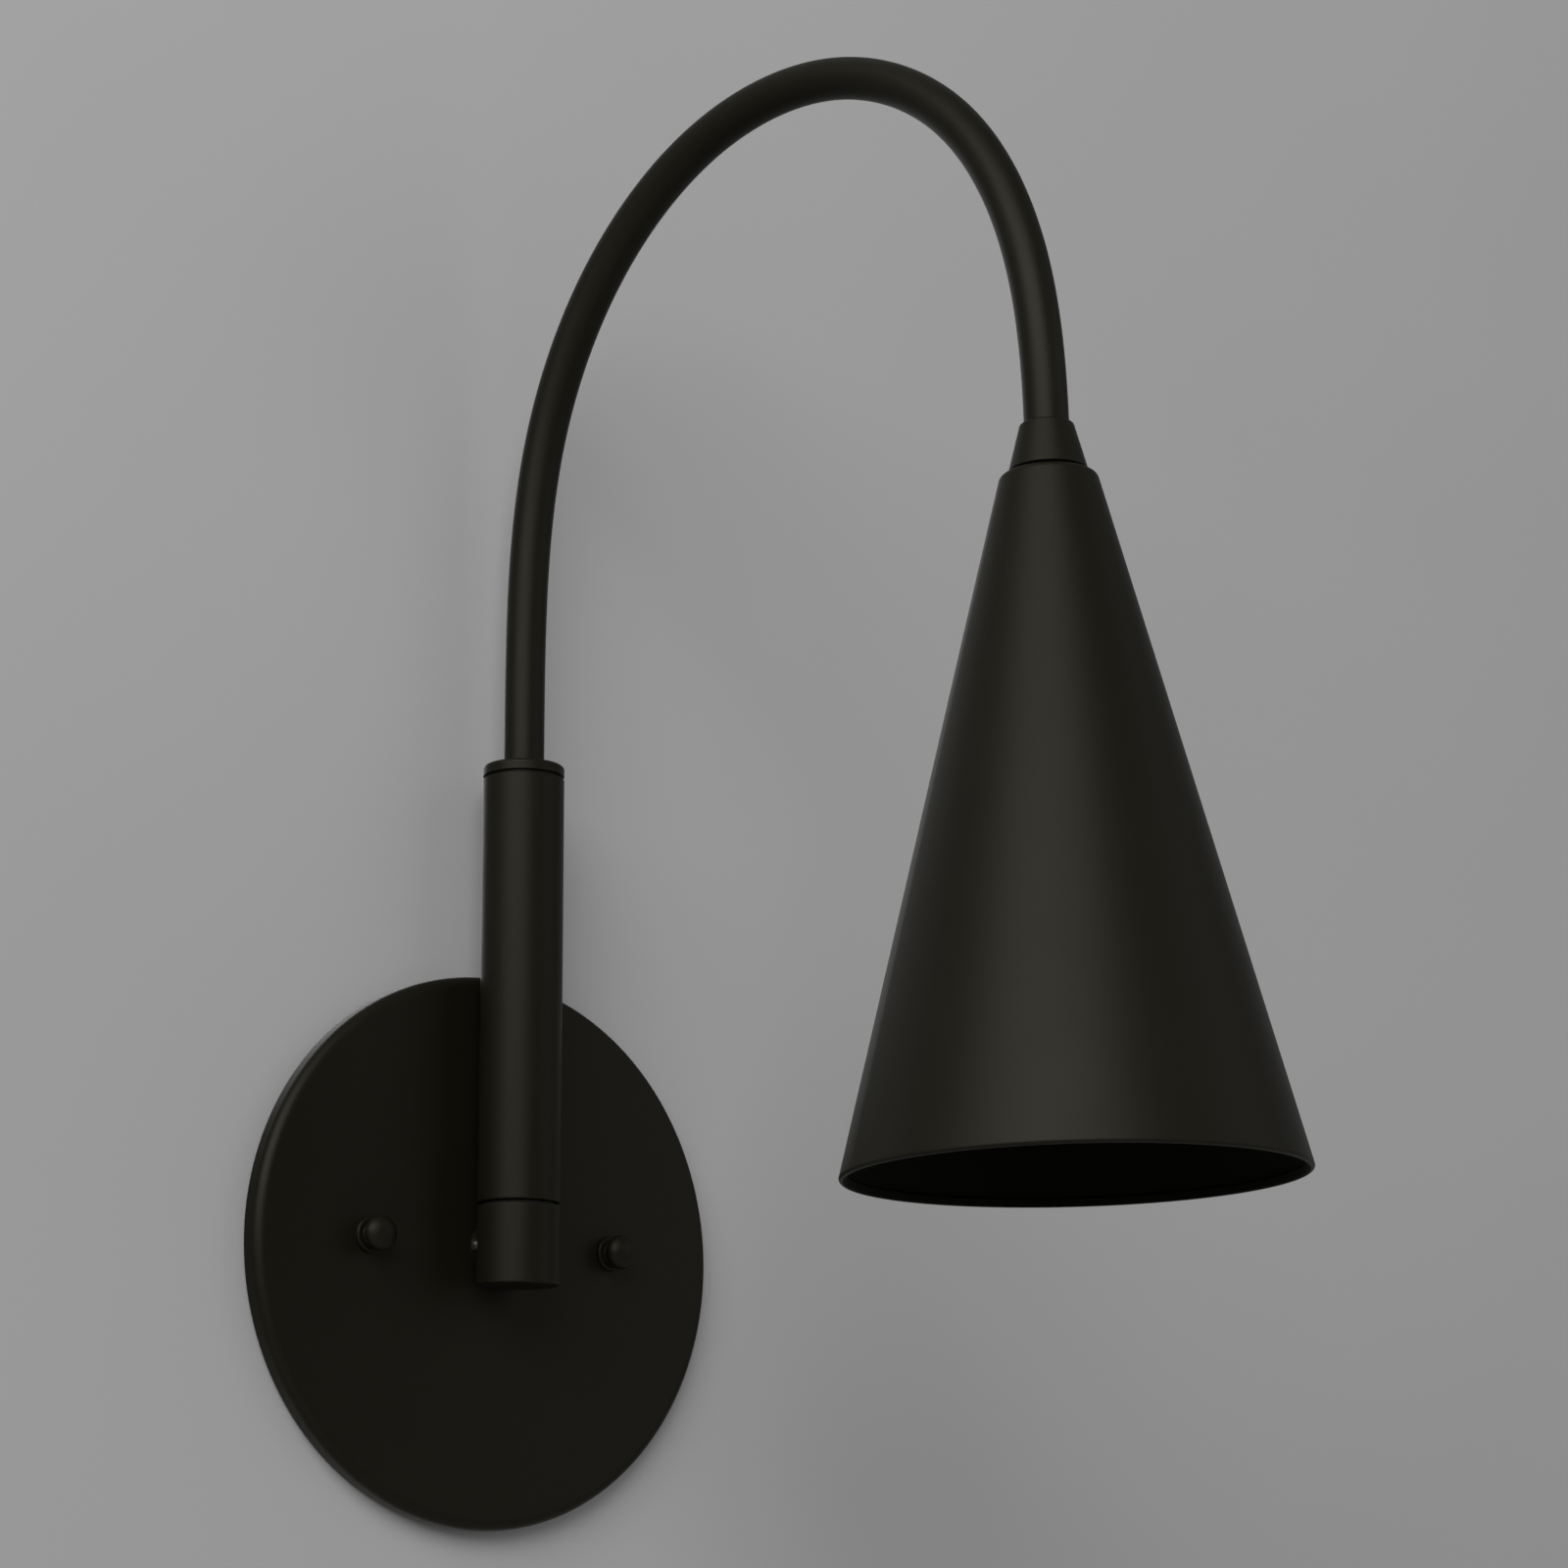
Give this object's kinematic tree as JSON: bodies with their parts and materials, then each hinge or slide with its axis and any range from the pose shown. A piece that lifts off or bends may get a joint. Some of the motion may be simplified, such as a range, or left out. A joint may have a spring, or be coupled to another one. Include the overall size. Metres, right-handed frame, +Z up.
{
  "type": "gooseneck wall sconce",
  "caption": "Wall light with a round wall plate, a short swivelling stem, a hooked flexible neck and a slim cone shade that points down.",
  "frame": {"origin": "centre of the wall plate's wall face, midway between the wall box screws", "axes": "+Z up, -Y out from the wall into the room, +X to the right as seen from the room"},
  "size_m": [0.1304, 0.2227, 0.3259],
  "materials": {
    "satin_black": "matt warm black powder coat",
    "shade_black": "matt warm black powder coat, inside and out",
    "neck_black": "matt black sleeve on a flexible steel neck",
    "zinc_steel": "zinc plated",
    "bright_steel": "bright",
    "earth_green": "green dyed zinc",
    "washer_black": "black fibre",
    "brass": "plain turned brass",
    "holder_black": "moulded black",
    "bulb_metal": "bright",
    "opal_glass": "opal",
    "cable_black": "matt"
  },
  "bodies": {
    "wall_base": {"backplate": "satin_black", "crossbar": "zinc_steel", "mounting_studs": "zinc_steel", "stud_lock_nuts": "zinc_steel", "cap_nuts": "satin_black", "earth_screw": "earth_green", "entry_nipple": "zinc_steel", "star_washer": "zinc_steel", "nipple_nut": "zinc_steel", "collar": "satin_black", "collar_set_screw": "bright_steel", "pivot_tube": "zinc_steel", "friction_washer": "washer_black", "wave_washer": "zinc_steel", "pivot_nut": "zinc_steel"},
    "stem": {"stem_sleeve": "satin_black", "swivel_bush": "brass", "stem_top_plug": "satin_black", "neck_lower_ferrule": "brass", "neck_lock_ring": "brass", "neck_section_1": "neck_black", "lamp_cable": "cable_black"},
    "neck_2": {"neck_section_2": "neck_black"},
    "neck_3": {"neck_section_3": "neck_black"},
    "neck_4": {"neck_section_4": "neck_black"},
    "neck_5": {"neck_section_5": "neck_black"},
    "neck_6": {"neck_section_6": "neck_black"},
    "neck_7": {"neck_section_7": "neck_black"},
    "head": {"neck_section_8": "neck_black", "neck_upper_ferrule": "brass", "shade_cap": "satin_black", "shade_washer": "washer_black", "shade": "shade_black", "shade_nipple": "zinc_steel", "shade_lock_nut": "zinc_steel", "holder_cap": "holder_black", "lamp_holder": "holder_black", "screw_shell": "brass", "centre_contact": "brass", "bulb_base": "bulb_metal", "bulb_envelope": "opal_glass"}
  },
  "joints": [
    {"name": "stem_swivel", "type": "hinge", "parent": "wall_base", "child": "stem", "pos_m": [0, -0.01533, 0], "axis": [0, 0, 1], "range_deg": [-82, 68], "deforming": ["lamp_cable"]},
    {"name": "neck_bend_1", "type": "hinge", "parent": "stem", "child": "neck_2", "pos_m": [0.00006, -0.01586, 0.15329], "axis": [-0.9925, -0.1219, 0], "range_deg": [-12, 15], "deforming": ["lamp_cable"]},
    {"name": "neck_side_1", "type": "hinge", "parent": "neck_2", "child": "neck_3", "pos_m": [0.00082, -0.02201, 0.19361], "axis": [-0.1171, 0.9541, 0.2756], "range_deg": [-20, 20], "deforming": ["lamp_cable"]},
    {"name": "neck_bend_2", "type": "hinge", "parent": "neck_3", "child": "neck_4", "pos_m": [0.00318, -0.04123, 0.22927], "axis": [-0.9925, -0.1219, 0], "range_deg": [-10, 20], "deforming": ["lamp_cable"]},
    {"name": "neck_side_2", "type": "hinge", "parent": "neck_4", "child": "neck_5", "pos_m": [0.0072, -0.07398, 0.2528], "axis": [0.0457, -0.3718, -0.9272], "range_deg": [-20, 20], "deforming": ["lamp_cable"]},
    {"name": "neck_bend_3", "type": "hinge", "parent": "neck_5", "child": "neck_6", "pos_m": [0.01209, -0.11382, 0.25578], "axis": [-0.9925, -0.1219, 0], "range_deg": [-8, 25], "deforming": ["lamp_cable"]},
    {"name": "neck_side_3", "type": "hinge", "parent": "neck_6", "child": "neck_7", "pos_m": [0.01635, -0.14849, 0.23562], "axis": [-0.0884, 0.72, -0.6884], "range_deg": [-20, 20], "deforming": ["lamp_cable"]},
    {"name": "neck_bend_4", "type": "hinge", "parent": "neck_7", "child": "head", "pos_m": [0.0187, -0.16764, 0.20008], "axis": [-0.9925, -0.1219, 0], "range_deg": [-15, 25], "deforming": ["lamp_cable"]}
  ]
}
